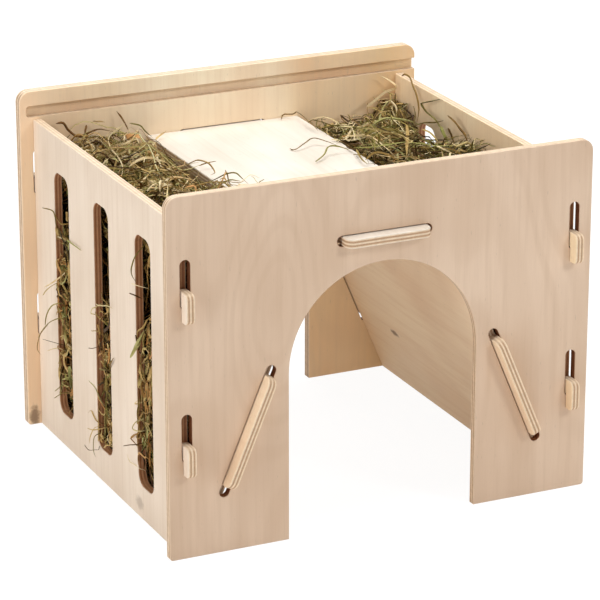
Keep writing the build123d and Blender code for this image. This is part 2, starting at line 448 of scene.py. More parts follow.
# A heap's loose top: strands, how tufts spread, tilt and come apart, and how strands rise over the heap
HEAP_KINDS = {
    # count, lengths, widths, bends as points, curl, wobble and kinks, rise over the heap, depth, flatness
    LEFT: [
        (1000, (0.006, 0.018), (0.0009, 0.0024), (6, 1.8, 0.6, 1.0), 0.0035, 0.016, 0.22),
        (2150, (0.014, 0.040), (0.0007, 0.0020), (10, 1.8, 0.6, 2.2), 0.0050, 0.018, 0.28),
        (260, (0.045, 0.095), (0.0007, 0.0013), (16, 1.6, 0.6, 2.2), 0.0080, 0.007, 0.60),
    ],
    RIGHT: [
        (420, (0.007, 0.020), (0.0008, 0.0019), (6, 1.8, 0.6, 1.0), 0.0035, 0.030, 0.22),
        (1250, (0.020, 0.055), (0.0007, 0.0018), (10, 1.5, 0.6, 2.0), 0.0080, 0.030, 0.30),
        (500, (0.050, 0.110), (0.0007, 0.0013), (16, 1.3, 0.6, 1.6), 0.0110, 0.018, 0.60),
    ],
}
HEAP_TUFTS = (0.007, 0.40, 0.50)
SLOT_TUFTS = (0.006, 0.0, 0.5)
MOST_RISE, LEAST_RISE = {LEFT: 0.013, RIGHT: 0.009}, 0.0008
DIP_PRESS = 0.75

# How far strands lie over the shelf
MEAN_SPILL, FRONT_SPILL = 0.004, 0.007
LEAST_SPILL, MOST_SPILL = 0.0004, 0.009

# Strands along the sides of a hay load: board, strands, how deep they lie
SIDE_FILL = [("panel", 2000, 0.010), ("wall", 700, 0.006), ("end", 300, 0.006), ("bottom", 150, 0.004)]
SIDES_TOP = 0.205
HOLLOW = 0.008
SLOT_FILL = {
    # for each slot from the front: strands, lowest and highest place
    LEFT: [(130, 0.026, 0.135), (130, 0.028, 0.125), (150, 0.042, 0.165)],
    RIGHT: [(150, 0.028, 0.145), (170, 0.035, 0.155), (150, 0.026, 0.140)],
}
POKES = {LEFT: 4, RIGHT: 11}

# Strands along the sides, in the slots and out of them: lengths, widths, bends
SIDE_KIND = ((0.018, 0.060), (0.0007, 0.0020), (8, 1.7, 0.7, 1.0))
SLOT_KIND = ((0.010, 0.038), (0.0009, 0.0022), (9, 2.6, 0.8, 1.2))
POKE_KIND = ((0.010, 0.026), (0.0006, 0.0012), (14, 2.4, 0.6, 0.8))

# Single strands, listed one by one: width, tone, greenness and points, in millimetres
STRAY_STEPS, STRAY_LIFT, STRAY_SPILL, STRAY_BULGE = 5, 0.200, 0.060, 0.009
LEFT_HAY_STRAYS = [
    (1.7, 0.11, -0.7, [(-126, 119, 219), (-121, 118, 219), (-118, 116, 214), (-113, 112, 210),
        (-107, 110, 212), (-99, 110, 214), (-92, 111, 212), (-86, 111, 210)]),
    (1.5, 0.11, -0.6, [(-106, 113, 217), (-108, 110, 212), (-108, 104, 208)]),
    (1.3, 0.97, 0.0, [(-80, 108, 216), (-97, 94, 213), (-108, 63, 214), (-109, 50, 213), (-113, 31, 212),
        (-119, 17, 210)]),
    (1.1, 0.45, 0.0, [(-65, 40, 203), (-62, 34, 207), (-60, 28, 210), (-58, 18, 211), (-56, 15, 209),
        (-56, 9, 206), (-57, 14, 203)]),
    (1.0, 0.30, 0.7, [(-63, 1, 203), (-60, -5, 207), (-55, -8, 210), (-49, -9, 210), (-46, -12, 207),
        (-41, -13, 202)]),
    (0.9, 0.20, 0.2, [(-51, 3, 209), (-53, -5, 208), (-55, -12, 205), (-52, -13, 202)]),
    (0.9, 0.90, -0.1, [(-61, -22, 202), (-53, -19, 204), (-46, -16, 207), (-40, -14, 209),
        (-34, -14, 206)]),
    (1.2, 0.16, -0.6, [(-75, 114, 209), (-78, 118, 217), (-81, 120, 222)]),
    (1.0, 0.30, 0.7, [(-74, 114, 214), (-67, 112, 212), (-65, 108, 209), (-59, 109, 203)]),
    (2.0, 0.85, 0.0, [(-59, 104, 203), (-52, 110, 204), (-48, 111, 206)]),
    (1.4, 0.35, 0.1, [(-57, 33, 204), (-50, 34, 205), (-45, 32, 206)]),
    (1.2, 0.35, -0.2, [(-100, 116, 218), (-95, 116, 217), (-91, 117, 216)]),
    (1.1, 0.19, 0.3, [(-131, 65, 225), (-131, 56, 221), (-130, 49, 218)]),
    (1.1, 0.16, 0.8, [(-78, 13, 207), (-82, -8, 206), (-85, -18, 204)]),
    (1.1, 0.16, 0.8, [(-72, 5, 207), (-76, -13, 206), (-76, -19, 203)]),
    (1.3, 0.25, 0.7, [(-80, 69, 205), (-73, 62, 207), (-71, 46, 207), (-63, 41, 204)]),
    (1.4, 0.50, -0.2, [(-103, 37, 211), (-103, 21, 211), (-99, 13, 210)]),
    (5.5, 0.80, -1.0, [(-84, 96, 211), (-80, 91, 213), (-76, 85, 211)]),
]
RIGHT_HAY_STRAYS = [
    (1.3, 0.27, 0.1, [(129, 103, 226), (130, 100, 228), (131, 94, 227), (131, 89, 222), (131, 84, 218),
        (130, 78, 211), (128, 74, 206), (125, 71, 199)]),
    (1.8, 0.13, 0.5, [(125, 76, 212), (117, 57, 211), (107, 39, 210), (107, 32, 209), (98, 22, 208),
        (89, 10, 207), (79, -7, 206), (74, -15, 204)]),
    (1.8, 0.25, 0.8, [(131, 48, 224), (129, 68, 216), (129, 71, 214), (130, 65, 210), (130, 51, 208),
        (130, 43, 204), (129, 30, 200), (129, 21, 198)]),
    (1.6, 0.16, 0.6, [(124, 71, 199), (126, 60, 204), (128, 49, 207), (129, 38, 211)]),
    (1.8, 0.20, -0.2, [(128, 30, 217), (129, 21, 214), (130, 16, 211), (131, 10, 208), (131, 4, 202)]),
    (1.3, 0.15, 0.2, [(128, 29, 208), (129, 26, 204), (130, 23, 198)]),
    (1.3, 0.52, 0.9, [(52, 21, 206), (61, 15, 207), (71, 12, 208), (85, 9, 209), (93, 1, 209),
        (102, -5, 208), (116, -6, 207), (129, -1, 206)]),
    (1.6, 0.62, 0.9, [(72, 51, 204), (82, 55, 208), (93, 61, 210), (102, 59, 210), (114, 57, 207),
        (122, 57, 203)]),
    (2.0, 0.40, 0.5, [(67, 39, 206), (77, 45, 208), (88, 45, 208), (93, 37, 208), (92, 23, 207),
        (86, 4, 206), (79, -12, 204)]),
    (2.4, 0.50, -0.1, [(102, 41, 210), (92, 20, 210), (82, 1, 209), (75, -13, 207)]),
    (1.6, 0.22, 0.7, [(61, 46, 204), (66, 50, 208), (72, 51, 209), (73, 46, 206)]),
    (1.3, 0.35, 0.5, [(64, 60, 204), (71, 62, 207), (73, 53, 207), (73, 43, 204)]),
    (1.7, 0.14, 0.3, [(82, 56, 207), (84, 57, 211), (88, 58, 218), (91, 59, 222)]),
    (2.0, 1.00, -0.4, [(106, 112, 204), (112, 113, 207), (122, 115, 212), (131, 116, 214), (127, 117, 219),
        (119, 118, 224)]),
    (1.0, 0.93, 0.0, [(112, 114, 210), (118, 113, 205), (125, 113, 206)]),
    (1.7, 0.12, -0.2, [(117, 100, 206), (122, 102, 207), (127, 100, 203)]),
    (1.3, 0.13, 0.5, [(127, 108, 212), (126, 106, 207), (126, 104, 200)]),
    (1.2, 0.15, 0.2, [(127, 104, 203), (132, 104, 203), (137, 104, 201)]),
    (1.3, 0.97, 0.0, [(119, 100, 210), (122, 98, 206), (122, 96, 202)]),
    (1.1, 0.95, 0.0, [(100, -8, 209), (103, -16, 208), (107, -23, 206)]),
    (1.6, 0.60, -0.1, [(113, -17, 207), (116, -20, 206), (120, -23, 205)]),
    (1.4, 0.45, -0.1, [(47, -7, 206), (57, -1, 208), (64, -4, 207), (68, -13, 205), (72, -18, 203)]),
    (1.4, 0.38, 0.7, [(76, 45, 211), (70, 31, 210), (64, 14, 209), (61, 7, 206)]),
    (1.6, 0.40, 0.3, [(53, 19, 205), (49, 3, 204), (48, -8, 203)]),
    (1.2, 0.25, 0.0, [(106, 112, 197), (102, 110, 195), (100, 108, 191)]),
    (3.0, 0.42, 1.0, [(128, 41, 206), (128, 35, 201), (129, 30, 195)]),
    (1.2, 0.90, -0.2, [(66, 58, 203), (71, 47, 206), (73, 35, 207), (72, 14, 206), (72, 1, 204)]),
    (1.3, 0.50, 0.2, [(109, 31, 209), (113, 26, 207), (113, 14, 204)]),
    (1.0, 0.19, 0.3, [(18, 51, 201), (20, 46, 202), (28, 48, 205), (37, 53, 206), (45, 46, 204),
        (50, 39, 202)]),
    (1.9, 0.52, 0.9, [(20, 14, 202), (30, 21, 204), (36, 27, 207), (43, 28, 206), (51, 27, 203)]),
    (1.0, 0.20, -0.2, [(41, 131, 202), (50, 117, 204), (53, 113, 206), (51, 86, 205), (51, 75, 203)]),
]
LEFT_SIDE_STRAYS = [
    (0.8, 0.30, 0.4, [(-148, 91, 170), (-144, 82, 170), (-142, 82, 165), (-139, 88, 156), (-134, 91, 145)]),
    (0.9, 0.90, -0.1, [(-148, 91, 113), (-145, 82, 119), (-140, 78, 124), (-134, 76, 130)]),
    (0.7, 0.60, 0.2, [(-148, 94, 106), (-146, 91, 111), (-142, 86, 116), (-137, 83, 118)]),
    (1.5, 0.56, 0.6, [(-147, 94, 84), (-147, 90, 93), (-145, 86, 100), (-142, 82, 103), (-136, 82, 102)]),
    (1.0, 0.35, 0.6, [(-149, 104, 72), (-148, 93, 83), (-146, 83, 91), (-141, 77, 94), (-134, 76, 90)]),
    (0.6, 0.30, 0.1, [(-147, 88, 87), (-149, 100, 75), (-149, 106, 64), (-148, 101, 60)]),
    (0.8, 0.10, 0.8, [(-147, 100, 72), (-142, 82, 74), (-136, 80, 72)]),
    (0.6, 0.85, 0.1, [(-145, 97, 64), (-142, 84, 70), (-137, 80, 68)]),
    (1.2, 0.50, 0.6, [(-146, 81, 40), (-143, 78, 44), (-139, 82, 44), (-134, 83, 47)]),
    (1.0, 0.45, 0.4, [(-145, 86, 33), (-143, 79, 38), (-139, 78, 39), (-135, 77, 37)]),
    (0.8, 0.85, 0.4, [(-136, 13, 125), (-142, 10, 124), (-144, 11, 123), (-145, 11, 120), (-144, 8, 120),
        (-139, 11, 117)]),
    (0.8, 0.85, 0.4, [(-139, 18, 124), (-142, 5, 127), (-143, -14, 133), (-145, -28, 136)]),
    (0.7, 0.10, 0.1, [(-145, 18, 93), (-144, 11, 95), (-138, 12, 96)]),
    (1.0, 0.80, 0.8, [(-147, 13, 72), (-144, 9, 68), (-140, 12, 59), (-136, 10, 50), (-135, 5, 45),
        (-134, 4, 40)]),
    (0.8, 0.60, -0.2, [(-147, 18, 36), (-145, 11, 37), (-141, 6, 39), (-135, 3, 41)]),
    (0.7, 0.70, 0.0, [(-137, 14, 37), (-143, 14, 37), (-146, 15, 31), (-146, 17, 25)]),
    (0.7, 0.30, 0.8, [(-138, 14, 33), (-144, 13, 31), (-146, 10, 23), (-145, 9, 18)]),
    (0.9, 0.10, 0.4, [(-149, 19, 24), (-147, 16, 21), (-144, 12, 22), (-137, 14, 20)]),
    (1.0, 0.30, 0.7, [(-134, -62, 191), (-137, -64, 189), (-142, -64, 184), (-144, -62, 178),
        (-144, -59, 170), (-139, -55, 161)]),
    (1.0, 0.97, 0.0, [(-143, -56, 162), (-140, -64, 162), (-134, -65, 160)]),
    (0.9, 0.08, 0.0, [(-145, -57, 156), (-142, -60, 155), (-136, -58, 151)]),
    (3.2, 0.66, 0.8, [(-147, -62, 114), (-144, -62, 120), (-142, -64, 124), (-137, -62, 131)]),
    (0.8, 0.80, 0.5, [(-136, -63, 72), (-139, -62, 70), (-144, -62, 69), (-146, -61, 65), (-146, -66, 65),
        (-142, -69, 65), (-136, -68, 66)]),
    (0.7, 0.10, 0.1, [(-149, -51, 49), (-147, -58, 52), (-143, -59, 52), (-136, -58, 52)]),
]
STRAYS = {"left_hay": LEFT_HAY_STRAYS, "right_hay": RIGHT_HAY_STRAYS, "left_side": LEFT_SIDE_STRAYS}


def unit(vectors):
    return vectors / np.maximum(np.linalg.norm(vectors, axis=-1, keepdims=True), 1e-12)


def smooth(value, low, high):
    """The soft share of the way from low to high."""
    share = np.clip((value - low) / (high - low), 0, 1)
    return share * share * (3 - 2 * share)


def turn_back(value, low, high):
    """Mirror what lies past low or high back inside, as a strand that meets a board bends along it."""
    value = np.where(value < low, 2 * low - value, value)
    value = np.where(value > high, 2 * high - value, value)
    return np.clip(value, low, high)


def wall_face(z):
    """The leaning walls' hopper side at height z."""
    return WALL_FOOT - (z - WALL_FOOT_RISE) * math.tan(WALL_LEAN)


def shelf_dip(side, x, y):
    """How far the left load has sunk beside the shelf's back half, from 0 to 1."""
    return smooth(x, 0.084, 0.066) * smooth(y, -0.035, 0.010) if side < 0 else 0 * x


def heap_top(side, x, y):
    """The hay's height over a place in one hopper."""
    lumps = sum(high * np.sin(x * across + y * along + turn * side) for high, across, along, turn in LUMPS)
    if side < 0:
        dip = shelf_dip(side, x, y)
        corner = smooth(x, 0.104, 0.126) * smooth(y, 0.070, 0.115)
        top = TOP_LEVEL[LEFT] + lumps * (1 - 0.7 * dip) - REAR_DIP * smooth(y, 0.085, 0.120)
        return top - SHELF_DIP * dip - LEFT_CORNER_DIP * corner
    dip = smooth(x, 0.098, 0.128) * smooth(y, -0.010, 0.040) * smooth(y, 0.105, 0.080)
    corner = smooth(x, 0.121, 0.110) * smooth(y, 0.072, 0.106)
    return TOP_LEVEL[RIGHT] + lumps * (0.7 - 0.4 * corner) - SLOT_DIP * dip - RIGHT_CORNER_DIP * corner


def settle(side, path, room, lift, spill):
    """Press strands back inside their hopper.

    room is each strand's clearance, lift its rise over the heap and spill how far it may lie over the shelf.
    A strand that lies further over the shelf moves out as a whole.
    """
    x, y, z = path[..., 0] * side, path[..., 1], path[..., 2]
    room, lift, spill = room[:, None], lift[:, None], spill[:, None]
    top = heap_top(side, np.clip(x, HEAP_INNER, HEAP_OUTER), y)
    over = np.maximum(z - top, 0)
    z = np.where(z > top, top + lift * np.tanh(over / np.maximum(lift, 1e-5)), z)
    z = np.maximum(z, HAY_BOTTOM + room)
    wall_x = wall_face(z) + room / math.cos(WALL_LEAN)
    deep_x = np.where(z > SHELF_TOP - BESIDE_SHELF, SHELF_EDGE + SHELF_ROOM + room, wall_x)
    above = z > SHELF_TOP - OVER_SHELF
    past = np.where(above, SHELF_EDGE + SPILL_START - spill - x, 0)
    x = x + np.maximum(past.max(1, keepdims=True), 0)
    x = turn_back(x, np.where(above, 0, deep_x), SIDE_INNER - room)
    z = np.where(above & (x < SHELF_EDGE + SHELF_REST + room), np.maximum(z, SHELF_TOP + room), z)
    y = turn_back(y, ROOM_FRONT + room, ROOM_BACK - room)
    return np.stack([x * side, y, z], -1)


def thread(side, path, width, slot, bulge):
    """Keep strands inside one feeding slot, and let them show bulge past the panel's outer face."""
    x, y, z = path[..., 0] * side, path[..., 1], path[..., 2]
    room, bulge = (width / 2 + SLOT_ROOM)[:, None], bulge[:, None]
    x = np.clip(x, SIDE_INNER + room, np.minimum(SIDE_OUTER + bulge, REACH - room))
    outside = x > SIDE_OUTER + room
    inside_y = np.clip(y, slot[0] + room, slot[1] - room)
    inside_z = np.clip(z, SLOT_LOW + MM + room, SLOT_HIGH - MM - room)
    return np.stack([x * side, np.where(outside, y, inside_y), np.where(outside, z, inside_z)], -1)


def wander(rng, start, heading, length, points, curl, wobble, kinks):
    """Paths that leave start along heading and keep turning. curl and wobble are angles over the length."""
    count = len(start)
    step = (length / (points - 1))[:, None]
    direction = unit(heading)
    axis = unit(np.cross(direction, rng.normal(size=(count, 3))))
    rate = rng.normal(size=(count, 1)) * curl / (points - 1)
    path = [start]
    for _ in range(points - 1):
        axis = unit(axis + rng.normal(size=(count, 3)) * AXIS_DRIFT)
        kinked = rng.uniform(size=(count, 1)) < kinks / (points - 1)
        angle = rate + rng.normal(size=(count, 1)) * wobble / math.sqrt(points - 1)
        angle = angle + np.where(kinked, rng.normal(size=(count, 1)) * KINK, 0.0)
        direction = unit(direction + np.cross(axis, direction) * angle)
        path.append(path[-1] + direction * step)
    return np.stack(path, 1)


def curve_through(points, steps):
    """A smooth path through given points, steps to a span."""
    points = np.array(points, float)
    points = np.concatenate([2 * points[:1] - points[1:2], points, 2 * points[-1:] - points[-2:-1]])
    path = []
    for before, here, there, after in zip(points, points[1:], points[2:], points[3:]):
        for share in np.arange(steps) / steps:
            bend = 2 * before - 5 * here + 4 * there - after
            turn = -before + 3 * here - 3 * there + after
            path.append(here + share * (there - before) / 2 + share**2 * bend / 2 + share**3 * turn / 2)
    path.append(points[-2])
    return np.array(path)


def hay_material():
    s = Shader(bpy.data.materials.new("dry_hay"))
    tone, along, green = [
        s.node("ShaderNodeAttribute", attribute_name=name).outputs["Fac"]
        for name in ("hay_tone", "hay_along", "hay_green")
    ]
    at = s.node("ShaderNodeTexCoord").outputs["Object"]
    mixed = s.math("ADD", tone, s.waver(at, 190.0, 0.36), clamp=True)
    share = s.math("MAXIMUM", green, 0.0)
    colour = s.blend(share, s.ramp(mixed, TAN_HAY, smooth=False), s.ramp(mixed, GREEN_HAY, smooth=False))
    colour = s.blend(s.span(green, -0.25, -1.0), colour, RUST, "MULTIPLY")
    vein = s.noise(at, scale=1500.0, detail=2.0)
    colour = s.blend(s.times(s.span(vein, 0.35, 0.7), 0.25), colour, VEIN)
    colour = s.blend(s.times(s.span(along, 0.76, 1.0), 0.30), colour, DRY_TIP)
    return s.finish(colour, s.span(vein, 0.3, 0.7, 0.45, 0.75), vein, 0.0001, specular=0.15)


# A nearly black core: painted shade for the gaps between the strands
def shaded_core_material():
    s = Shader(bpy.data.materials.new("hay_core_painted_shade"))
    at = s.node("ShaderNodeTexCoord").outputs["Object"]
    lumps = s.noise(at, scale=130.0, detail=4.0, roughness=0.65, distortion=1.5)
    return s.finish(s.ramp(lumps, CORE_SHADE_TONES), 0.9, lumps, 0.002, specular=0.1)


def core_ring(side, row):
    """One ring of a packed core, as points across and up, and its place along the house."""
    low = HAY_BOTTOM + CORE_LIFT
    inner = SHELF_EDGE + CORE_INSET
    knee = WALL_FOOT_RISE + (WALL_FOOT + CORE_INSET - inner) / math.tan(WALL_LEAN)
    depth = ROOM_BACK - ROOM_FRONT - 2 * CORE_END_GAP
    y = ROOM_FRONT + CORE_END_GAP + depth * row / (CORE_ROWS - 1)
    top_in = float(heap_top(side, inner, y)) - CORE_SKIN[side]
    top_out = float(heap_top(side, CORE_OUTER, y)) - CORE_SKIN[side]
    corners = [
        (wall_face(low) + CORE_INSET, low),
        (SIDE_INNER - CORE_INSET, low),
        (SIDE_INNER - CORE_SHOULDER[0], top_out - CORE_SHOULDER[1]),
        ((inner + SIDE_INNER) / 2, max(top_in, top_out)),
        (inner, top_in),
        (inner, min(knee, top_in - CORE_SHOULDER[1])),
    ]
    outline = np.array(corners + corners[:1])
    run = np.concatenate([[0], np.cumsum(np.linalg.norm(np.diff(outline, axis=0), axis=1))])
    ring = np.linspace(0, run[-1], CORE_RIM, endpoint=False)
    around = np.stack([np.interp(ring, run, outline[:, 0]), np.interp(ring, run, outline[:, 1])], 1)
    lumps = sum(
        high * np.sin(ring * waves + start + row * turn)
        for (high, waves, turn), start in zip(CORE_LUMPS, (side, 2))
    )
    return around + unit(around - around.mean(0)) * (lumps - CORE_PRESS)[:, None], y


def hay_core(side, name, material):
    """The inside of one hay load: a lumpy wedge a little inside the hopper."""
    points = []
    for row in range(CORE_ROWS):
        ring, y = core_ring(side, row)
        points += [(x * side, y, z) for x, z in ring]
    faces = []
    for row in range(CORE_ROWS - 1):
        for here in range(CORE_RIM):
            beside = (here + 1) % CORE_RIM
            first = row * CORE_RIM
            faces.append([first + here, first + beside, first + CORE_RIM + beside, first + CORE_RIM + here])
    last = (CORE_ROWS - 1) * CORE_RIM
    faces += [list(range(CORE_RIM))[::-1], list(range(last, last + CORE_RIM))]
    if side < 0:
        faces = [face[::-1] for face in faces]
    mesh = bpy.data.meshes.new(name)
    mesh.from_pydata(points, [], faces)
    mesh.update()
    mesh.polygons.foreach_set("use_smooth", np.ones(len(mesh.polygons), bool))
    return placed(mesh, material)


def placed(mesh, material):
    """An object of mesh, in the scene under the mesh's name."""
    mesh.materials.append(material)
    made = bpy.data.objects.new(mesh.name, mesh)
    bpy.context.scene.collection.objects.link(made)
    return made


def strand_faces(rings):
    """The triangles of one closed strand that has three points to a ring."""
    first = np.arange(rings - 1)[:, None] * 3
    here = np.arange(3)[None, :]
    beside = (here + 1) % 3
    lower = np.stack([first + here, first + beside, first + 3 + beside], -1).reshape(-1, 3)
    upper = np.stack([first + here, first + 3 + beside, first + 3 + here], -1).reshape(-1, 3)
    last = (rings - 1) * 3
    return np.concatenate([lower, upper, [[2, 1, 0], [last, last + 1, last + 2]]])


class Strands:
    """Closed strands for one mesh: folded blades, a triangle in section. green is their mean greenness."""

    def __init__(self, green):
        self.green = green
        self.points, self.faces, self.tones, self.greens, self.places = [], [], [], [], []
        self.total = 0

    def add(self, rng, path, width, tone, flatness=FOLD, taper=(0.15, 0.5), twist=2.0, green=None):
        """Strands along path, an array of strand, point and place. green replaces the drawn greenness."""
        count, rings = path.shape[:2]
        tangent = unit(np.gradient(path, axis=1))
        across = unit(np.cross(tangent[:, 0], rng.normal(size=(count, 3))))
        turn = rng.normal(size=(count, 1)) * twist
        rows = []
        for i, place in enumerate(np.linspace(0, 1, rings)):
            across = unit(across - tangent[:, i] * np.sum(across * tangent[:, i], -1, keepdims=True))
            up = np.cross(tangent[:, i], across)
            flat = across * np.cos(turn * place) + up * np.sin(turn * place)
            keel = up * np.cos(turn * place) - across * np.sin(turn * place)
            full = min(1, place / taper[0] + ROOT_WIDTH, (1 - place) / taper[1] + TIP_WIDTH)
            half = flat * (width * full / 2)[:, None]
            deep = keel * (width * flatness * (0.3 + 0.7 * full) / 2)[:, None]
            rows.append(np.stack([path[:, i] + half + deep, path[:, i] - half + deep, path[:, i] - deep], 1))
        self.points.append(np.stack(rows, 1).reshape(-1, 3))
        starts = self.total + np.arange(count)[:, None, None] * rings * 3
        self.faces.append((strand_faces(rings)[None] + starts).reshape(-1, 3))
        self.tones.append(np.repeat(tone, rings * 3))
        drawn = np.clip(rng.normal(self.green, GREEN_SPREAD, count), -1, 1) * smooth(tone, 0.95, 0.80)
        green = drawn if green is None else np.full(count, green)
        self.greens.append(np.repeat(green, rings * 3))
        self.places.append(np.tile(np.repeat(np.linspace(0, 1, rings), 3), count))
        self.total += count * rings * 3

    def build(self, name, material):
        points, faces = np.concatenate(self.points), np.concatenate(self.faces)
        mesh = bpy.data.meshes.new(name)
        mesh.vertices.add(len(points))
        mesh.vertices.foreach_set("co", points.astype(np.float32).ravel())
        mesh.loops.add(faces.size)
        mesh.loops.foreach_set("vertex_index", faces.astype(np.int32).ravel())
        mesh.polygons.add(len(faces))
        mesh.polygons.foreach_set("loop_start", np.arange(len(faces), dtype=np.int32) * 3)
        mesh.update(calc_edges=True)
        mesh.polygons.foreach_set("use_smooth", np.ones(len(faces), bool))
        layers = [("hay_tone", self.tones), ("hay_green", self.greens), ("hay_along", self.places)]
        for key, values in layers:
            layer = mesh.attributes.new(key, "FLOAT", "POINT")
            layer.data.foreach_set("value", np.concatenate(values).astype(np.float32))
        mesh.set_sharp_from_angle(angle=math.radians(50))
        return placed(mesh, material)


def tufts(rng, count, low, high, spread, tilt, loose):
    """Places, headings and tones of strands in tufts, which lie together and point much the same way."""
    bunches = max(1, count // TUFT_SIZE)
    which = rng.integers(0, bunches, count)
    centre = rng.uniform(low, high, (bunches, len(low)))[which]
    place = np.clip(centre + rng.normal(size=centre.shape) * spread, low, high)
    turn = rng.uniform(0, 2 * math.pi, bunches)
    lead = np.stack([np.cos(turn), np.sin(turn), rng.normal(size=bunches) * tilt], 1)[which]
    heading = unit(lead) * np.where(rng.uniform(size=(count, 1)) < 0.5, -1, 1)
    heading = unit(heading + rng.normal(size=(count, 3)) * loose)
    return place, heading, rng.normal(size=bunches)[which]


def tones_of(rng, side, bunch):
    middle, between, within = HAY_MIX[side]
    return np.clip(middle + between * bunch + within * rng.normal(size=len(bunch)), 0, 1)


def spill_over(rng, side, y):
    """How far strands at y may lie over the shelf: further towards the front."""
    spill = rng.exponential(MEAN_SPILL, len(y)) + LEAST_SPILL
    if side < 0:
        more = rng.exponential(FRONT_SPILL, len(y)) * smooth(y, 0.030, -0.040)
        return spill * smooth(y, 0.060, 0.0) + more + LEAST_SPILL
    spill = spill + rng.exponential(MEAN_SPILL, len(y)) * smooth(y, 0.060, 0.0)
    return np.minimum(spill * smooth(y, -0.105, -0.075) + LEAST_SPILL, MOST_SPILL)


def fill_heap(side, strands, rng):
    """The loose top of one hay load: crumbs, kinked blades and long stems."""
    low = np.array([SHELF_EDGE + MM, ROOM_FRONT])
    high = np.array([SIDE_INNER, ROOM_BACK])
    for count, lengths, widths, bends, lift, depth, flatness in HEAP_KINDS[side]:
        place, heading, bunch = tufts(rng, count, low, high, *HEAP_TUFTS)
        x, y = place[:, 0], place[:, 1]
        below = rng.uniform(0, 1, count) ** 0.9
        z = heap_top(side, x, y) - below * depth
        length = rng.uniform(*lengths, count)
        start = np.stack([x * side, y, z], 1) - heading * length[:, None] / 2
        path = wander(rng, start, heading, length, *bends)
        width = rng.uniform(*widths, count)
        rise = np.minimum(rng.exponential(lift, count), MOST_RISE[side])
        rise = rise * (1 - DIP_PRESS * shelf_dip(side, x, y)) + LEAST_RISE
        path = settle(side, path, width / 2 + LOOSE_ROOM, rise, spill_over(rng, side, y))
        # Painted shade: strands deeper in the heap are darker
        tone = np.maximum(tones_of(rng, side, bunch), DARKEST_TOP) - HAY_SHADE[side] * below
        strands.add(rng, path, width, np.clip(tone, 0, 1), flatness)


def beside_board(rng, side, board, count, depth):
    """Places, headings and depths of strands along one side of a hay load."""
    turn = rng.uniform(0, 2 * math.pi, count)
    inward = rng.uniform(0, 1, count) ** 1.2 * depth
    y = rng.uniform(ROOM_FRONT, ROOM_BACK, count)
    z = rng.uniform(HAY_BOTTOM, SIDES_TOP, count)
    if board == "panel":
        inward = inward + HOLLOW * smooth(z, 0.120, 0.150) * smooth(z, 0.205, 0.192)
        x = SIDE_INNER - inward
        heading = [rng.normal(size=count) * 0.2, np.cos(turn), np.sin(turn)]
    elif board == "wall":
        x = wall_face(z) + inward
        rise = np.sin(turn)
        heading = [-rise * math.sin(WALL_LEAN) * side, np.cos(turn), rise * math.cos(WALL_LEAN)]
    elif board == "end":
        x = wall_face(z) + rng.uniform(0, 1, count) * (SIDE_INNER - wall_face(z))
        y = np.where(rng.uniform(size=count) < 0.5, ROOM_FRONT + inward, ROOM_BACK - inward)
        heading = [np.cos(turn), rng.normal(size=count) * 0.15, np.sin(turn)]
    else:
        z = HAY_BOTTOM + inward
        x = rng.uniform(WALL_FOOT - 0.008, SIDE_INNER, count)
        heading = [np.cos(turn) * 0.3, np.sin(turn), rng.normal(size=count) * 0.2]
    return np.stack([x * side, y, z], 1), np.stack(heading, 1), inward


def fill_sides(side, strands, rng):
    """The strands along the sides of one hay load, seen through the slots and once it is lifted."""
    lengths, widths, bends = SIDE_KIND
    for board, count, depth in SIDE_FILL:
        place, heading, inward = beside_board(rng, side, board, count, depth)
        length = rng.uniform(*lengths, count)
        start = place - unit(heading) * length[:, None] / 2
        path = wander(rng, start, heading, length, *bends)
        width = rng.uniform(*widths, count)
        path = settle(side, path, width / 2 + LOOSE_ROOM, np.full(count, MM), np.zeros(count))
        # Painted shade: darker along the sides and further inward
        tone = tones_of(rng, side, rng.normal(size=count)) - SIDES_SHADE - SIDES_SHADE_INWARD * inward
        strands.add(rng, path, width, np.clip(tone, 0, 1))


def fill_slots(side, strands, rng):
    """Hay that sits in the thickness of a side panel's slots, and a few strands that poke out."""
    for slot, (count, lowest, highest) in zip(FEED_SLOTS, SLOT_FILL[side]):
        low, high = np.array([slot[0], lowest]), np.array([slot[1], highest])
        lengths, widths, bends = SLOT_KIND
        place, heading, bunch = tufts(rng, count, low, high, *SLOT_TUFTS)
        heading = unit(np.stack([heading[:, 2] * 0.5, heading[:, 0] * 0.7, heading[:, 1]], 1))
        length = rng.uniform(*lengths, count)
        x = rng.uniform(SIDE_INNER, SIDE_OUTER - MM, count)
        start = np.stack([x * side, place[:, 0], place[:, 1]], 1) - heading * length[:, None] / 2
        path = wander(rng, start, heading, length, *bends)
        width = rng.uniform(*widths, count)
        bulge = rng.exponential(0.0005, count) - 0.0006
        path = thread(side, path, width, slot, bulge)
        # Painted shade: darker inside the slots
        tone = np.clip(tones_of(rng, side, bunch) - SLOT_SHADE, 0, 1)
        strands.add(rng, path, width, tone)

        count = POKES[side]
        lengths, widths, bends = POKE_KIND
        place = rng.uniform(low, high, (count, 2))
        start = np.stack([np.full(count, SIDE_INNER + MM) * side, place[:, 0], place[:, 1]], 1)
        heading = np.stack([np.full(count, 0.8 * side), rng.normal(size=count), rng.normal(size=count)], 1)
        length = rng.uniform(*lengths, count)
        path = wander(rng, start, heading, length, *bends)
        width = rng.uniform(*widths, count)
        path = thread(side, path, width, slot, rng.uniform(0.002, 0.008, count))
        strands.add(rng, path, width, tones_of(rng, side, rng.normal(size=count)))


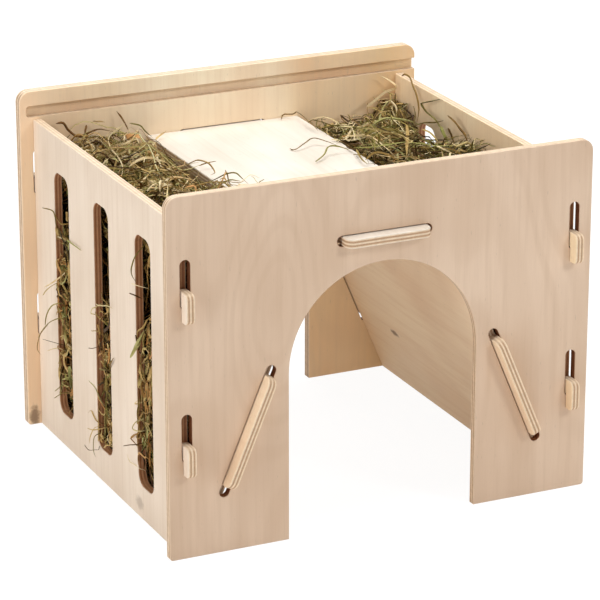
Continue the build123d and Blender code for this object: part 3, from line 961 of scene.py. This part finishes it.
def add_strays(side, body, strands, rng):
    """The single listed strands, on the heap or through the slots."""
    for width, tone, green, points in STRAYS.get(body, []):
        path = curve_through(points, STRAY_STEPS)[None] * MM
        width = np.array([width * MM])
        if body.endswith("side"):
            middle = np.mean([p[1] for p in points]) * MM
            slot = min(FEED_SLOTS, key=lambda ends: abs(sum(ends) / 2 - middle))
            path = thread(side, path, width, slot, np.array([STRAY_BULGE]))
        else:
            lift, spill = np.array([STRAY_LIFT]), np.array([STRAY_SPILL])
            path = settle(side, path, width / 2 + STRAY_ROOM, lift, spill)
        tone = np.array([tone])
        strands.add(rng, path, width, tone, taper=(0.1, 0.35), twist=1.0, green=green)


def dress_hay():
    """Replace each plain hay load by a packed core, dark as painted shade, and loose strands."""
    straw, packed = hay_material(), shaded_core_material()
    for side, word in ((LEFT, "left"), (RIGHT, "right")):
        rng = np.random.default_rng(100 + side)
        body = word + "_hay"
        heap_green, other_green = HAY_GREEN[side]
        core = hay_core(side, body + "_core", packed)
        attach(core, body)
        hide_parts("hay_" + word)
        parts = [
            ("heap", fill_heap, body, heap_green),
            ("sides", fill_sides, body, other_green),
            ("wisps", fill_slots, word + "_side", other_green),
        ]
        for part, fill, rides, green in parts:
            strands = Strands(green)
            fill(side, strands, rng)
            if part != "sides":
                add_strays(side, rides, strands, rng)
            made = strands.build(f"{body}_{part}", straw)
            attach(made, rides)


# ---------------- studio
WHITE = (1, 1, 1, 1)
WORLD_LIGHT = 0.10
LAMP_AIM = Vector((0, 0, 0.12))
LAMPS = [
    # name, place, width, power
    ("top_light", (0.1, 0.0, 1.6), 1.0, 20.5),
    ("left_light", (-1.8, -0.3, 0.8), 1.3, 18.0),
    ("key_light", (0.9, -1.4, 1.3), 0.45, 11.0),
    ("front_light", (-0.1, -2.2, 0.70), 1.3, 6.2),
    ("back_light", (0.3, 1.8, 1.2), 1.2, 12.0),
]

# The floor: matt, with a light of its own, and near white where it is seen itself, apart from the shadow
FLOOR_REACH = 6.0
FLOOR_COLOUR = (0.80, 0.79, 0.78, 1)
FLOOR_LIGHT = 0.23
SHADOW_COLOUR = (0.16, 0.16, 0.16, 1)
GLOW_SPAN = (0.25, 1.2, 0.92, 1.0)

# The camera: where it stands, what it looks at and its lens, in metres, degrees and widths of the picture
YAW, PITCH, DISTANCE = math.radians(24.944), math.radians(19.739), 2.212
TARGET = Vector((0.002, 0.0, 0.1106))
FOCAL_WIDTHS = 3271 / 600
SENSOR_WIDTH = 36.0


def floor_material():
    s = Shader(bpy.data.materials.new("studio_floor"))
    rays = s.node("ShaderNodeLightPath").outputs
    seen = s.math("MAXIMUM", rays["Is Camera Ray"], rays["Is Glossy Ray"])
    seen = s.math("MAXIMUM", seen, rays["Is Transmission Ray"])
    matt = s.node("ShaderNodeBsdfDiffuse", [("Color", FLOOR_COLOUR)])
    lit = s.node("ShaderNodeEmission", [("Color", WHITE), ("Strength", FLOOR_LIGHT)])
    table = s.node("ShaderNodeAddShader", [(0, matt.outputs[0]), (1, lit.outputs[0])])
    at = s.node("ShaderNodeTexCoord").outputs["Object"]
    away = s.node("ShaderNodeVectorMath", [(0, at)], operation="LENGTH").outputs["Value"]
    shaded = s.node("ShaderNodeBsdfDiffuse", [("Color", SHADOW_COLOUR)])
    glow = s.node("ShaderNodeEmission", [("Color", WHITE), ("Strength", s.span(away, *GLOW_SPAN))])
    white = s.node("ShaderNodeAddShader", [(0, shaded.outputs[0]), (1, glow.outputs[0])])
    both = s.node("ShaderNodeMixShader", [(0, seen), (1, table.outputs[0]), (2, white.outputs[0])])
    s.node("ShaderNodeOutputMaterial", [("Surface", both.outputs[0])])
    return s.owner


def surround():
    """A world that gives soft light and looks white."""
    s = Shader(bpy.data.worlds.new("studio"))
    rays = s.node("ShaderNodeLightPath").outputs
    seen = s.math("MAXIMUM", rays["Is Camera Ray"], rays["Is Glossy Ray"])
    soft = s.node("ShaderNodeBackground", [("Strength", WORLD_LIGHT)])
    white = s.node("ShaderNodeBackground", [("Strength", 1.0)])
    both = s.node("ShaderNodeMixShader", [(0, seen), (1, soft.outputs[0]), (2, white.outputs[0])])
    s.node("ShaderNodeOutputWorld", [("Surface", both.outputs[0])])
    return s.owner


def aimed(name, data, place, forward):
    """A lamp or a camera at place that looks forward."""
    made = bpy.data.objects.new(name, data)
    made.location = place
    made.rotation_mode = "QUATERNION"
    made.rotation_quaternion = forward.to_track_quat("-Z", "Y")
    bpy.context.scene.collection.objects.link(made)
    return made


def studio():
    """A white floor and surround, with soft light from all around."""
    corners = [(-1, -1), (1, -1), (1, 1), (-1, 1)]
    mesh = bpy.data.meshes.new("floor")
    mesh.from_pydata([(x * FLOOR_REACH, y * FLOOR_REACH, 0) for x, y in corners], [], [(0, 1, 2, 3)])
    floor = placed(mesh, floor_material())
    bpy.context.scene.world = surround()
    for name, place, size, power in LAMPS:
        data = bpy.data.lights.new(name, "AREA")
        data.shape = "SQUARE"
        data.size = size
        data.energy = power
        aimed(name, data, Vector(place), LAMP_AIM - Vector(place))


def camera():
    """The viewing angle: from the front left and above, with a long lens."""
    forward = Vector((math.sin(YAW) * math.cos(PITCH), math.cos(YAW) * math.cos(PITCH), -math.sin(PITCH)))
    data = bpy.data.cameras.new("camera")
    data.sensor_width = SENSOR_WIDTH
    data.lens = FOCAL_WIDTHS * SENSOR_WIDTH
    data.clip_start, data.clip_end = 0.05, 50.0
    bpy.context.scene.camera = aimed("camera", data, TARGET - forward * DISTANCE, forward)


dress_boards()
dress_hay()
studio()
camera()
bpy.context.scene.view_settings.view_transform = "Standard"
